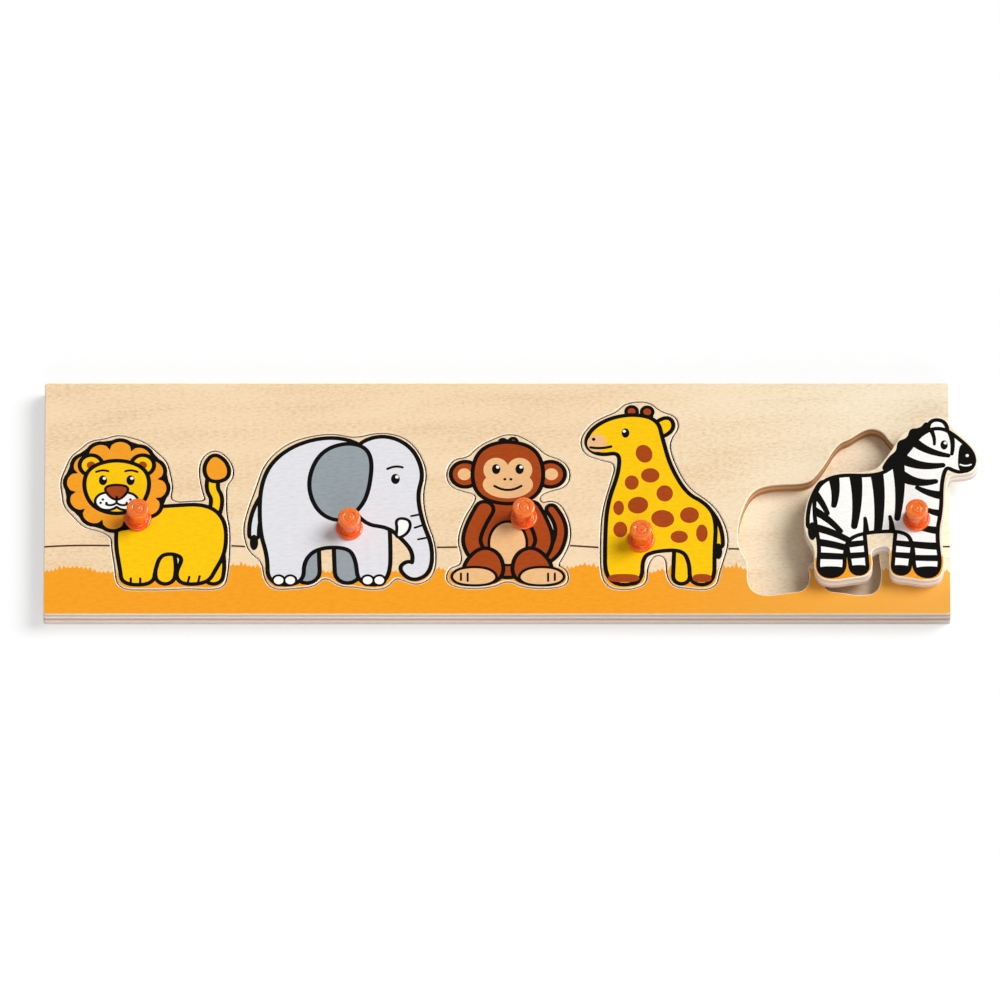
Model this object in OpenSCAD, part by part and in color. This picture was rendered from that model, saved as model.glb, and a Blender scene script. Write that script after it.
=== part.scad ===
// Peg puzzle: a long plywood board with five animal-shaped recesses, and a loose
// plywood animal for each one, lifted by a moulded peg. Four animals lie in their
// recesses. The fifth is drawn out and lies on the board, over its empty recess.
//
// The origin is the middle of the board's underside. X runs along the board, Y
// towards its far edge and Z up. Sizes are in millimetres.
//
// Each animal is drawn on its own grid. The grid's zero is on the line that the
// animal stands on, at its left, and the grid's unit is the animal's height, so a
// bigger height gives a bigger animal of the same proportions. The animals stand in
// a row, and the board is as long and as wide as they and the margins need.

/* [Board] */
// Distance from the board's left end to the lion
left_margin = 7.6; // [4:0.1:40]
// Distance from the zebra's recess to the board's right end
right_margin = 16; // [4:0.1:60]
// Distance from the giraffe's recess, the tallest, to the board's far edge
far_margin = 9.7; // [4:0.1:40]
// Distance from the board's near edge to the line that the animals stand on
near_margin = 13.2; // [8:0.1:30]
// The same distance for the zebra, which stands a little nearer
zebra_near_margin = 10.4; // [7:0.1:30]
// Distance between each two neighbouring animals
spacing = 5.3; // [3:0.1:20]
// Radius of the board's four upright corners
corner_r = 1.2; // [0.4:0.1:6]
// Thickness of the backing sheet that closes the recesses below
backing_t = 3; // [2:0.5:8]
// Thickness of the upper sheet that the recesses are sawn through
frame_t = 7; // [5:0.5:12]

/* [Animals] */
// Thickness of the animals
piece_t = 7; // [5:0.5:14]
// Gap all round between an animal and the wall of its recess
recess_gap = 0.6; // [0.3:0.1:1]
// Height of the lion, from its feet to the top of its mane
lion_h = 76; // [50:1:120]
// Height of the elephant, from its feet to the top of its head
elephant_h = 78; // [50:1:120]
// Height of the monkey, from its seat to the top of its head
monkey_h = 74; // [50:1:120]
// Height of the giraffe, from its feet to the top of its horns
giraffe_h = 91; // [50:1:120]
// Height of the zebra, from its feet to the tips of its ears
zebra_h = 81; // [50:1:120]
// How far along the board the drawn-out zebra lies from its recess
drawn_along = 28.5; // [0:0.5:32]
// How far across the board the drawn-out zebra lies from its recess
drawn_across = 3; // [0:0.5:8]

/* [Pegs] */
// Height of a peg above the animal that it lifts
peg_h = 11.2; // [9:0.1:20]
// Diameter of the round foot that sits on the animal
foot_d = 12; // [11:0.1:16]
// Thickness of the foot at its rim
foot_t = 1.6; // [1:0.1:2]
// Diameter of the neck between the foot and the head
neck_d = 8.2; // [6:0.1:8.4]
// Radius of the hollow curves where the neck meets the foot and the head
neck_fillet = 0.4; // [0.2:0.1:0.5]
// Diameter of the head
head_d = 10; // [9.8:0.1:14]
// Thickness of the head at its rim
head_rim_t = 2.4; // [1.8:0.1:2.8]
// Radius of the rounding at the top of the head's rim
head_round_r = 0.9; // [0.5:0.1:1.2]
// Radius of the rounding under the head's rim
head_lip_r = 0.3; // [0.1:0.1:0.4]
// How far the head's crown rises inside its rim
crown_h = 0.2; // [0.1:0.1:1]
// Diameter of the round groove in the crown
groove_d = 4.6; // [3.6:0.1:5.6]
// Width of the groove
groove_w = 1; // [0.6:0.1:1.2]
// Depth of the groove
groove_depth = 0.35; // [0.1:0.05:0.5]
// How far the dot in the middle stands above the crown
dot_h = 0.25; // [0.1:0.05:0.4]
// Diameter of the dot in the middle of the crown
dot_d = 1.2; // [0.8:0.1:1.6]
// Diameter of the shank that is pressed into the animal
shank_d = 4; // [3:0.1:5]
// Length of the shank below the foot
shank_l = 4.2; // [3:0.1:4.4]
// Bevel at the shank's lower end, which guides it into its hole
shank_bevel = 0.5; // [0.2:0.1:0.8]
// Gap between the shank and the wall of its hole
shank_gap = 0.05; // [0.02:0.01:0.1]
// Free depth of the hole below the shank
hole_spare = 0.4; // [0.2:0.1:0.5]

/* [Smoothness] */
// Straight steps in each bend of an animal's outline
bend_steps = 6; // [3:1:12]
// Straight steps in each rounded edge of a peg and each corner of the board
arc_steps = 8; // [4:1:16]
// Points from the rim to the middle of a peg's crown
crown_steps = 24; // [16:1:40]

/* [Hidden] */

$fn = 64;
overrun = 1;

wood_color = "#F1DBB5";
backing_color = "#E6CDA6";
lion_color = "#FFCE08";
elephant_color = "#E0E4EC";
monkey_color = "#AA4616";
giraffe_color = "#FFCE08";
zebra_color = "#FAF8F4";
peg_color = "#F0702A";

seat_z = backing_t;

// Where each peg stands on its animal's grid
lion_peg_shares = [0.4, 0.45];
elephant_peg_shares = [0.58, 0.38];
monkey_peg_shares = [0.455, 0.47];
giraffe_peg_shares = [0.285, 0.26];
zebra_peg_shares = [0.605, 0.37];

// Guide points of each outline on the animal's grid, listed clockwise

// Lion: round the mane, over the back, round the tail and along the feet
lion_outline_shares = [
    [0.12, 0.97], [0.20, 0.98], [0.28, 1.01], [0.36, 0.99], [0.44, 0.96], [0.50, 0.90],
    [0.56, 0.84], [0.58, 0.77], [0.60, 0.66], [0.58, 0.59], [0.63, 0.56], [0.70, 0.57],
    [0.80, 0.57], [0.78, 0.63], [0.76, 0.73], [0.76, 0.82], [0.79, 0.88], [0.85, 0.91],
    [0.91, 0.87], [0.95, 0.80], [0.95, 0.73], [0.91, 0.68], [0.91, 0.60], [0.91, 0.49],
    [0.93, 0.40], [0.93, 0.25], [0.92, 0.09], [0.90, 0.01], [0.83, -0.01], [0.70, 0],
    [0.57, -0.01], [0.44, -0.01], [0.33, -0.01], [0.28, 0.03], [0.27, 0.14], [0.25, 0.27],
    [0.25, 0.34], [0.18, 0.38], [0.09, 0.40], [0.03, 0.47], [-0.03, 0.54], [-0.04, 0.63],
    [-0.05, 0.71], [-0.02, 0.79], [0.01, 0.87], [0.06, 0.91]
];

// Elephant: over the back and the head, down the trunk, along the feet, up the tail
elephant_outline_shares = [
    [0.25, 0.94], [0.38, 0.98], [0.50, 0.99], [0.61, 0.96], [0.74, 1.00], [0.87, 0.98],
    [0.96, 0.90], [1.02, 0.75], [0.99, 0.60], [1.01, 0.44], [1.06, 0.30], [1.07, 0.16],
    [1.04, 0.06], [0.96, 0.02], [0.89, 0.05], [0.84, 0.07], [0.79, 0], [0.70, -0.01],
    [0.61, 0.01], [0.53, 0.01], [0.44, 0.08], [0.38, 0.01], [0.28, 0], [0.15, -0.01],
    [0.10, 0.06], [0.09, 0.17], [0.03, 0.22], [0, 0.27], [-0.02, 0.38], [0.01, 0.51],
    [0.06, 0.66], [0.09, 0.77], [0.15, 0.86]
];

// Monkey: over the head, round the right ear, down the tail, along the feet, and up
// the left arm to the left ear
monkey_outline_shares = [
    [0.17, 0.94], [0.22, 0.98], [0.32, 1.03], [0.37, 1.04], [0.43, 1.03], [0.52, 0.97],
    [0.58, 0.90], [0.67, 0.87], [0.72, 0.82], [0.73, 0.74], [0.69, 0.68], [0.60, 0.66],
    [0.54, 0.62], [0.56, 0.57], [0.62, 0.59], [0.68, 0.56], [0.73, 0.43], [0.73, 0.31],
    [0.68, 0.20], [0.65, 0.15], [0.71, 0.12], [0.72, 0.04], [0.66, 0], [0.46, 0],
    [0.36, 0.06], [0.26, 0], [0.06, 0], [-0.01, 0.05], [0.01, 0.13], [0.08, 0.15],
    [0.09, 0.22], [0.06, 0.32], [0.10, 0.47], [0.17, 0.59], [0.17, 0.64], [0.09, 0.66],
    [0.02, 0.69], [-0.01, 0.77], [0.03, 0.87], [0.12, 0.88]
];

// Giraffe: over the horns and the ear, down the neck and the back, along the feet,
// and up the chest to the chin
giraffe_outline_shares = [
    [0.04, 0.90], [0.10, 0.94], [0.17, 0.97], [0.21, 1.02], [0.32, 1.03], [0.38, 0.97],
    [0.45, 0.95], [0.47, 0.89], [0.43, 0.83], [0.42, 0.77], [0.46, 0.65], [0.52, 0.54],
    [0.62, 0.47], [0.68, 0.38], [0.71, 0.26], [0.68, 0.15], [0.66, 0.08], [0.65, 0.02],
    [0.60, -0.01], [0.51, 0], [0.44, 0.01], [0.41, 0.07], [0.41, 0.17], [0.35, 0.19],
    [0.31, 0.12], [0.31, 0.02], [0.22, -0.01], [0.13, 0], [0.09, 0.07], [0.09, 0.28],
    [0.10, 0.43], [0.14, 0.58], [0.17, 0.69], [0.09, 0.71], [0.01, 0.74], [-0.01, 0.82]
];

// Zebra: over the ear, down the nose to the chin and the chest, along the feet, and
// up the tail and the mane
zebra_outline_shares = [
    [0.60, 0.95], [0.65, 0.99], [0.71, 1.02], [0.77, 1.00], [0.81, 0.93], [0.91, 0.84],
    [0.95, 0.76], [0.93, 0.67], [0.85, 0.65], [0.78, 0.65], [0.77, 0.56], [0.76, 0.40],
    [0.74, 0.24], [0.76, 0.12], [0.74, 0.01], [0.65, -0.01], [0.56, 0.01], [0.46, 0.02],
    [0.45, 0.12], [0.46, 0.22], [0.35, 0.19], [0.37, 0.09], [0.34, 0.02], [0.25, 0.01],
    [0.15, -0.01], [0.07, 0.01], [0.04, 0.08], [0.05, 0.19], [-0.01, 0.29], [-0.01, 0.42],
    [0.03, 0.56], [0.08, 0.64], [0.18, 0.67], [0.37, 0.67], [0.43, 0.74], [0.48, 0.82],
    [0.51, 0.88], [0.55, 0.93]
];

// The direction that points out of a clockwise outline, square to its side from a to b
function outward(a, b) = [a.y - b.y, b.x - a.x] / norm(b - a);

// A loop of guide points moved out by the same gap on every side. Two sides that
// meet at a corner move it along the line that halves them.
function widened(guides, gap) = let (n = len(guides)) [
    for (i = [0 : n - 1])
        let (
            before = outward(guides[(i + n - 1) % n], guides[i]),
            after = outward(guides[i], guides[(i + 1) % n])
        )
        guides[i] + gap * (before + after) / (1 + before * after)
];

// A smooth closed curve that a loop of guide points draws after it: it touches each
// side at its middle and bends past each corner
function smooth(guides) = let (n = len(guides)) [
    for (i = [0 : n - 1])
        let (
            start = (guides[(i + n - 1) % n] + guides[i]) / 2,
            end = (guides[i] + guides[(i + 1) % n]) / 2
        )
        for (k = [0 : bend_steps - 1])
            let (t = k / bend_steps)
            (1 - t) ^ 2 * start + 2 * t * (1 - t) * guides[i] + t ^ 2 * end
];

// Each animal's outline, height, distance from the near edge and place of its peg
animals = [
    [lion_outline_shares, lion_h, near_margin, lion_peg_shares],
    [elephant_outline_shares, elephant_h, near_margin, elephant_peg_shares],
    [monkey_outline_shares, monkey_h, near_margin, monkey_peg_shares],
    [giraffe_outline_shares, giraffe_h, near_margin, giraffe_peg_shares],
    [zebra_outline_shares, zebra_h, zebra_near_margin, zebra_peg_shares]
];
lion = 0;
elephant = 1;
monkey = 2;
giraffe = 3;
zebra = 4;

// How far an animal reaches to the left of its grid's zero, to its right and upwards
function reach(i, side) = animals[i][1] * (
    let (outline = smooth(animals[i][0]))
    side == "left" ? -min([for (p = outline) p.x]) :
    side == "right" ? max([for (p = outline) p.x]) : max([for (p = outline) p.y])
);

// Distance from the board's left end to an animal's grid
function grid_start(i) = reach(i, "left")
    + (i == 0 ? left_margin : grid_start(i - 1) + reach(i - 1, "right") + spacing);

board_l = grid_start(zebra) + reach(zebra, "right") + right_margin;
board_w = max([for (i = [lion : zebra]) animals[i][2] + reach(i, "up")]) + far_margin;

// A place on an animal's grid, on the board
function placed(i, shares) = [
    grid_start(i) - board_l / 2 + shares.x * animals[i][1],
    animals[i][2] - board_w / 2 + shares.y * animals[i][1]
];

function guides(i) = [for (shares = animals[i][0]) placed(i, shares)];

function peg_at(i) = placed(i, animals[i][3]);

// Points of an arc about a centre, both ends included
function arc(centre, r, from, to) = [
    for (k = [0 : arc_steps])
        let (angle = from + (to - from) * k / arc_steps)
        centre + r * [cos(angle), sin(angle)]
];

// The board's outline, with rounded corners
function board_outline() = let (x = board_l / 2 - corner_r, y = board_w / 2 - corner_r) concat(
    arc([x, y], corner_r, 0, 90),
    arc([-x, y], corner_r, 90, 180),
    arc([-x, -y], corner_r, 180, 270),
    arc([x, -y], corner_r, 270, 360)
);

// Sawn plywood animal, lying in its recess, with the hole for its peg
module piece(i) {
    difference() {
        translate([0, 0, seat_z])
            linear_extrude(piece_t) polygon(smooth(guides(i)));
        translate([peg_at(i).x, peg_at(i).y, seat_z + piece_t - shank_l - hole_spare])
            cylinder(h = shank_l + hole_spare + overrun, d = shank_d + 2 * shank_gap);
    }
}

// Recess of an animal, cut right through the upper sheet
module recess(i) {
    translate([0, 0, seat_z - overrun])
        linear_extrude(frame_t + 2 * overrun) polygon(smooth(widened(guides(i), recess_gap)));
}

// Height of a peg's crown at a distance from its axis: a shallow dome with a round
// groove in it and a dot in the middle. The rounding of the rim turns through this
// angle before it meets the dome.
round_turn = 80;
dome_r = head_d / 2 - head_round_r * (1 - cos(round_turn));
function hump(r, middle, width) = max(0, 1 - (2 * (r - middle) / width) ^ 2);
function crown_z(r) = peg_h - dot_h - crown_h * (r / dome_r) ^ 2
    - groove_depth * hump(r, groove_d / 2, groove_w) + dot_h * hump(r, 0, dot_d);

// Half section of a peg, from the end of its shank to the middle of its crown
head_top_z = crown_z(dome_r);
head_under_z = head_top_z - head_rim_t;
head_round_z = head_top_z - head_round_r * sin(round_turn);
function peg_section() = concat(
    [[0, -shank_l], [shank_d / 2 - shank_bevel, -shank_l]],
    [[shank_d / 2, shank_bevel - shank_l], [shank_d / 2, 0]],
    arc([foot_d / 2 - foot_t / 2, foot_t / 2], foot_t / 2, -90, 90),
    arc([neck_d / 2 + neck_fillet, foot_t + neck_fillet], neck_fillet, 270, 180),
    arc([neck_d / 2 + neck_fillet, head_under_z - neck_fillet], neck_fillet, 180, 90),
    arc([head_d / 2 - head_lip_r, head_under_z + head_lip_r], head_lip_r, -90, 0),
    arc([head_d / 2 - head_round_r, head_round_z], head_round_r, 0, round_turn),
    [for (k = [crown_steps - 1 : -1 : 0]) let (r = dome_r * k / crown_steps) [r, crown_z(r)]]
);

// Moulded peg, pressed into an animal that lies in its recess
module peg(i) {
    color(peg_color)
        translate([peg_at(i).x, peg_at(i).y, seat_z + piece_t])
            rotate_extrude() polygon(peg_section());
}

// Puts an animal or its peg where it lies on the board, out of its recess
module drawn_out() {
    translate([drawn_along, drawn_across, frame_t]) children();
}

// Thin plywood sheet, glued under the upper sheet as the floor of the recesses
module backing_board() {
    color(backing_color)
        linear_extrude(backing_t) polygon(board_outline());
}

// Upper plywood sheet, with the five recesses
module frame_board() {
    color(wood_color)
        difference() {
            translate([0, 0, seat_z])
                linear_extrude(frame_t) polygon(board_outline());
            for (i = [lion : zebra]) recess(i);
        }
}

module lion_piece() { color(lion_color) piece(lion); }
module elephant_piece() { color(elephant_color) piece(elephant); }
module monkey_piece() { color(monkey_color) piece(monkey); }
module giraffe_piece() { color(giraffe_color) piece(giraffe); }
module zebra_piece() { color(zebra_color) drawn_out() piece(zebra); }

module lion_peg() { peg(lion); }
module elephant_peg() { peg(elephant); }
module monkey_peg() { peg(monkey); }
module giraffe_peg() { peg(giraffe); }
module zebra_peg() { drawn_out() peg(zebra); }

backing_board();
frame_board();
lion_piece();
elephant_piece();
monkey_piece();
giraffe_piece();
zebra_piece();
lion_peg();
elephant_peg();
monkey_peg();
giraffe_peg();
zebra_peg();
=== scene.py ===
# %% [markdown]
# # A wooden peg puzzle with five animals
#
# The toy is a long plywood board with five animal-shaped recesses. A printed plywood
# animal lies in each recess and is lifted by a small plastic peg. Here four animals are
# in their places, and the zebra has been lifted out and put down on the board.
#
# A CAD model already gives every piece its exact size, place and way of moving. This
# lesson gives those pieces their looks: sanded plywood, printed inks, moulded pegs, a
# floor and light.

import bpy
from math import atan2, cos, exp, hypot, pi, radians, sin, sqrt
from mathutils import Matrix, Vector
from mathutils.geometry import delaunay_2d_cdt, tessellate_polygon


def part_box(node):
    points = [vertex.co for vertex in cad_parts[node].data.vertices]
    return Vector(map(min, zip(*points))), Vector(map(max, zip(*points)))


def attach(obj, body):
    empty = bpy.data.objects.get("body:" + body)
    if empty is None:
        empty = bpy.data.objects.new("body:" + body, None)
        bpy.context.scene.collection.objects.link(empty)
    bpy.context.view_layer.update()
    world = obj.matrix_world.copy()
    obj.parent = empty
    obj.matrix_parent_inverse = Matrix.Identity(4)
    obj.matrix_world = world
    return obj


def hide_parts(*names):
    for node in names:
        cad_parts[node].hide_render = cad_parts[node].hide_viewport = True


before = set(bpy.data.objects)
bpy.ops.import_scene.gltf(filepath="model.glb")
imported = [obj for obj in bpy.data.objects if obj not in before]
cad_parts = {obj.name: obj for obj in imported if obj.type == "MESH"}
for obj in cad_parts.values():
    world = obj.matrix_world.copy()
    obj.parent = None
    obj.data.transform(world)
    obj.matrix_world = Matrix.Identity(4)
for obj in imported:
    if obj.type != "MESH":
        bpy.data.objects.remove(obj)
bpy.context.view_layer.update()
scene = bpy.context.scene
MM = 0.001

# %% [markdown]
# ## The camera
#
# The photograph was taken from in front and well above, and the board's opposite edges
# are parallel in it, as a very long lens shows them. A 1200 mm lens fifteen metres away
# gives that look. The distance is worked out from how wide the picture is at the board.

# %% Place the camera
PICTURE_WIDTH = 442 * MM
TILT = radians(61.3)
AIM = Vector((1.3, -0.9, 10)) * MM

lens = bpy.data.cameras.new("long lens")
lens.lens = 1200
lens.sensor_width = 36
camera = bpy.data.objects.new("camera", lens)
scene.collection.objects.link(camera)
distance = PICTURE_WIDTH * lens.lens / lens.sensor_width
camera.location = AIM + distance * Vector((0, -cos(TILT), sin(TILT)))
camera.rotation_euler = (pi / 2 - TILT, 0, 0)
scene.camera = camera
scene.view_settings.view_transform = "Standard"
print(f"the camera is {distance:.2f} m away")

# %% [markdown]
# ## Helpers for materials
#
# Colours are written as the sRGB hex values that a paint program shows, and one
# function turns them into the linear numbers that Blender's nodes work with. Another
# adds a node, sets it up and links it, so that a material reads as a short recipe.
#
# Some nodes have several sockets of one name, such as the node that mixes colours or
# the one that does sums. Those are picked by their place, and the places get names.

# %% Colour and node helpers
FIRST, SECOND = 0, 1
COLOUR_A, COLOUR_B, MIXED = 6, 7, 2


def linear(code):
    """An sRGB hex colour as linear red, green, blue and alpha."""
    parts = [int(code[i:i + 2], 16) / 255 for i in (1, 3, 5)]
    return [c / 12.92 if c <= 0.04045 else ((c + 0.055) / 1.055) ** 2.4 for c in parts] + [1]


def add(tree, kind, inputs=None, stops=None, **settings):
    """Adds a node. Each input takes a value, or the output socket of another node.

    The stops are those of a colour ramp. Any further settings are the node's own.
    """
    node = tree.nodes.new("ShaderNode" + kind)
    for name, value in settings.items():
        setattr(node, name, value)
    for place, value in (inputs or {}).items():
        if isinstance(value, bpy.types.NodeSocket):
            tree.links.new(value, node.inputs[place])
        else:
            node.inputs[place].default_value = value
    if stops:
        marks = node.color_ramp.elements
        while len(marks) < len(stops):
            marks.new(1)
        for mark, (position, colour) in zip(marks, stops):
            mark.position = position
            mark.color = linear(colour)
    return node


def new_material(name, **sockets):
    """A material and its shader, with the plain numbers set on the shader's sockets."""
    material = bpy.data.materials.new(name)
    material.use_nodes = True
    shader = material.node_tree.nodes["Principled BSDF"]
    for socket, value in sockets.items():
        shader.inputs[socket.replace("_", " ")].default_value = value
    return material, material.node_tree, shader


print("a mid grey, #808080, is", round(linear("#808080")[0], 3), "in linear light")

# %% [markdown]
# ## A white floor
#
# The toy was photographed on white, and only its soft shadow shows. The floor is a
# plain sheet of white card that throws nearly all its light back on the toy. Under a
# bright studio such a shadow is much paler than plain shading makes it, so what the
# camera sees is partly a steady white glow, and the shadow darkens only the rest.

# %% Make the floor
FLOOR_HALF = 3.0
GLOW = 0.53

white_card, tree, shader = new_material("white_card", Roughness=0.9)
path = add(tree, "LightPath")
seen = add(tree, "Mix", {"Factor": path.outputs["Is Camera Ray"],
                         COLOUR_A: linear("#F2F2F0"), COLOUR_B: linear("#B7B7B7")},
           data_type="RGBA")
tree.links.new(seen.outputs[MIXED], shader.inputs["Base Color"])
shader.inputs["Emission Color"].default_value = linear("#FFFFFF")
glow = add(tree, "Math", {FIRST: path.outputs["Is Camera Ray"], SECOND: GLOW},
           operation="MULTIPLY")
tree.links.new(glow.outputs["Value"], shader.inputs["Emission Strength"])

sheet = bpy.data.meshes.new("floor")
corners = [(-1, -1), (1, -1), (1, 1), (-1, 1)]
sheet.from_pydata([(x * FLOOR_HALF, y * FLOOR_HALF, 0) for x, y in corners],
                  [], [(0, 1, 2, 3)])
floor = bpy.data.objects.new("floor", sheet)
floor.data.materials.append(white_card)
scene.collection.objects.link(floor)
print(f"the floor is {2 * FLOOR_HALF:.0f} m square")

# %% [markdown]
# ## Soft studio light
#
# The shadows in the photograph fall to the left and a little towards the viewer, with
# wide soft edges, so the main lamp stands on the right and a little behind the toy. A
# sun lamp with a large angle gives that everywhere alike: a wider angle makes softer
# shadows, and a lower lamp longer ones. A second, low one in front lights the board's
# front edge, and a pale surround gives the rest. Together they light a surface that
# faces up so that its colour comes out about as it is written.

# %% Set the lamps
def softbox(name, strength, softness, turn, height):
    """A sun lamp at a turn from the right-hand side and a height, all in degrees.

    It gives back the share of its light that falls on a level surface.
    """
    lamp = bpy.data.lights.new(name, "SUN")
    lamp.energy = strength
    lamp.angle = radians(softness)
    stand = bpy.data.objects.new(name, lamp)
    across = cos(radians(height))
    towards = Vector((across * cos(radians(turn)), across * sin(radians(turn)),
                      sin(radians(height))))
    stand.rotation_euler = towards.to_track_quat("Z", "Y").to_euler()
    stand.location = towards
    scene.collection.objects.link(stand)
    return strength * sin(radians(height)) / pi


SURROUND = 0.26
key = softbox("key lamp", strength=2.92, softness=37, turn=22, height=44)
fill = softbox("fill lamp", strength=1.22, softness=50, turn=-80, height=15)

world = bpy.data.worlds.new("studio")
scene.world = world
world.use_nodes = True
tree = world.node_tree
path = add(tree, "LightPath")
strength = add(tree, "Mix", {"Factor": path.outputs["Is Camera Ray"], "A": SURROUND, "B": 1.0})
background = tree.nodes["Background"]
tree.links.new(strength.outputs["Result"], background.inputs["Strength"])
background.inputs["Color"].default_value = linear("#FFFFFF")
print(f"light on a level surface: {key:.2f} key + {fill:.2f} fill + {SURROUND} surround")

# %% [markdown]
# ## Plywood
#
# The board and the animals are birch plywood: thin rotary-cut veneers, glued with the
# grain of each one across the last, then sanded. From above one sees the face veneer: a
# cream tone with broad faint streaks and a fine mottle of short flecks and pores. Its
# colour is painted from a warmer left end to a paler right end: painted light. From the
# side one sees the stack: pale veneers cut along the grain, darker ones cut across it,
# and thin brown glue lines.
# The board's own edge is painted darker towards its right end, and so is the backing's: painted
# shade.
#
# Every pattern is worked out from a size in millimetres. A pore of birch is only about
# 0.1 mm wide, too fine for this picture, so the pores are drawn 0.5 mm wide. The veneers
# are not quite level, so their stack wanders up and down by half a millimetre.

# %% Plywood finish
GRAIN_RISE = radians(4)
GLUE_LINE = 0.12
WANDER = 0.5
MOTTLE = [(0.36, "#EFE3D5"), (0.5, "#FBF8F4"), (0.64, "#FFFFFF")]
PORE, BARE_ARRIS = "#D8B48C", "#FCEFD6"


def grain(tree, place, along, across, detail, seed=0.0):
    """Noise drawn out along the grain, with its two sizes in mm."""
    laid = add(tree, "Mapping", {
        "Vector": place.outputs["Object"], "Location": (seed, seed, 0),
        "Rotation": (0, 0, GRAIN_RISE),
        "Scale": (along * MM, across * MM, across * MM)}, vector_type="TEXTURE")
    noise = add(tree, "TexNoise", {"Vector": laid.outputs["Vector"], "Scale": 1.0,
                                   "Detail": detail, "Roughness": 0.6})
    return noise.outputs["Fac"]


def face_veneer(tree, place, left, right):
    """The colour of a sanded face, and the noise that makes its pores."""
    broad = grain(tree, place, 70, 12, 2)
    flecks = grain(tree, place, 2.2, 1.0, 3, 0.2)
    pores = grain(tree, place, 2.6, 0.5, 1, 0.4)
    # Painted light: the face's colour grows lighter and paler towards the right end.
    spot = add(tree, "SeparateXYZ", {"Vector": place.outputs["Object"]})
    drift = add(tree, "MapRange", {"Value": spot.outputs["X"], "From Min": 30 * MM,
                                   "From Max": 200 * MM})
    painted_light_tone = add(tree, "Mix", {"Factor": drift.outputs["Result"], COLOUR_A: linear(left),
                             COLOUR_B: linear(right)}, data_type="RGBA")
    both = add(tree, "Mix", {"Factor": 0.62, "A": broad, "B": flecks})
    cloud = add(tree, "ValToRGB", {"Fac": both.outputs["Result"]}, stops=MOTTLE)
    wood = add(tree, "Mix", {"Factor": 1.0, COLOUR_A: painted_light_tone.outputs[MIXED],
                             COLOUR_B: cloud.outputs["Color"]},
               data_type="RGBA", blend_type="MULTIPLY")
    specks = add(tree, "MapRange", {"Value": pores, "From Min": 0.58, "From Max": 0.76,
                                    "To Min": 0.0, "To Max": 0.4})
    face = add(tree, "Mix", {"Factor": specks.outputs["Result"], COLOUR_A: wood.outputs[MIXED],
                             COLOUR_B: linear(PORE)}, data_type="RGBA")
    return face.outputs[MIXED], pores


def veneer_stack(tree, place, veneers, glue, right_end_painted_shade):
    """The colour of a sawn side: the stack of veneers, with its glue lines and fibres, and
    painted shade towards the right end.
    """
    total = sum(thick for thick, colour in veneers)
    stops, top = [], 0.0
    for thick, colour in veneers:
        stops.append((top / total, colour))
        top += thick
        if top < total:
            stops.append(((top - GLUE_LINE) / total, glue))
    height = add(tree, "SeparateXYZ", {"Vector": place.outputs["Generated"]})
    sway = add(tree, "Math", {FIRST: grain(tree, place, 30, 30, 2, 0.6),
                              SECOND: WANDER / total}, operation="MULTIPLY")
    lifted = add(tree, "Math", {FIRST: height.outputs["Z"], SECOND: sway.outputs["Value"]},
                 operation="ADD")
    level = add(tree, "Math", {FIRST: lifted.outputs["Value"], SECOND: WANDER / 2 / total},
                operation="SUBTRACT")
    stack = add(tree, "ValToRGB", {"Fac": level.outputs["Value"]}, stops=stops)
    stack.color_ramp.interpolation = "CONSTANT"

    laid = add(tree, "Mapping", {"Vector": place.outputs["Object"],
                                 "Scale": (3 * MM, 3 * MM, 0.35 * MM)}, vector_type="TEXTURE")
    fibres = add(tree, "TexNoise", {"Vector": laid.outputs["Vector"], "Scale": 1.0,
                                    "Detail": 3.0, "Roughness": 0.6})
    rub = add(tree, "MapRange", {"Value": fibres.outputs["Fac"], "From Min": 0.35,
                                 "From Max": 0.65, "To Min": 0.86, "To Max": 1.0})
    # Painted shade: the sawn side darkens towards the board's right end.
    spot = add(tree, "SeparateXYZ", {"Vector": place.outputs["Object"]})
    painted_shade_ramp = add(tree, "MapRange", {"Value": spot.outputs["X"], "From Min": -30 * MM,
                                    "From Max": 200 * MM, "To Min": 1.0, "To Max": right_end_painted_shade})
    tint = add(tree, "Math", {FIRST: rub.outputs["Result"], SECOND: painted_shade_ramp.outputs["Result"]},
               operation="MULTIPLY")
    side = add(tree, "Mix", {"Factor": 1.0, COLOUR_A: stack.outputs["Color"],
                             COLOUR_B: tint.outputs["Value"]},
               data_type="RGBA", blend_type="MULTIPLY")
    return side.outputs[MIXED]


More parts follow.
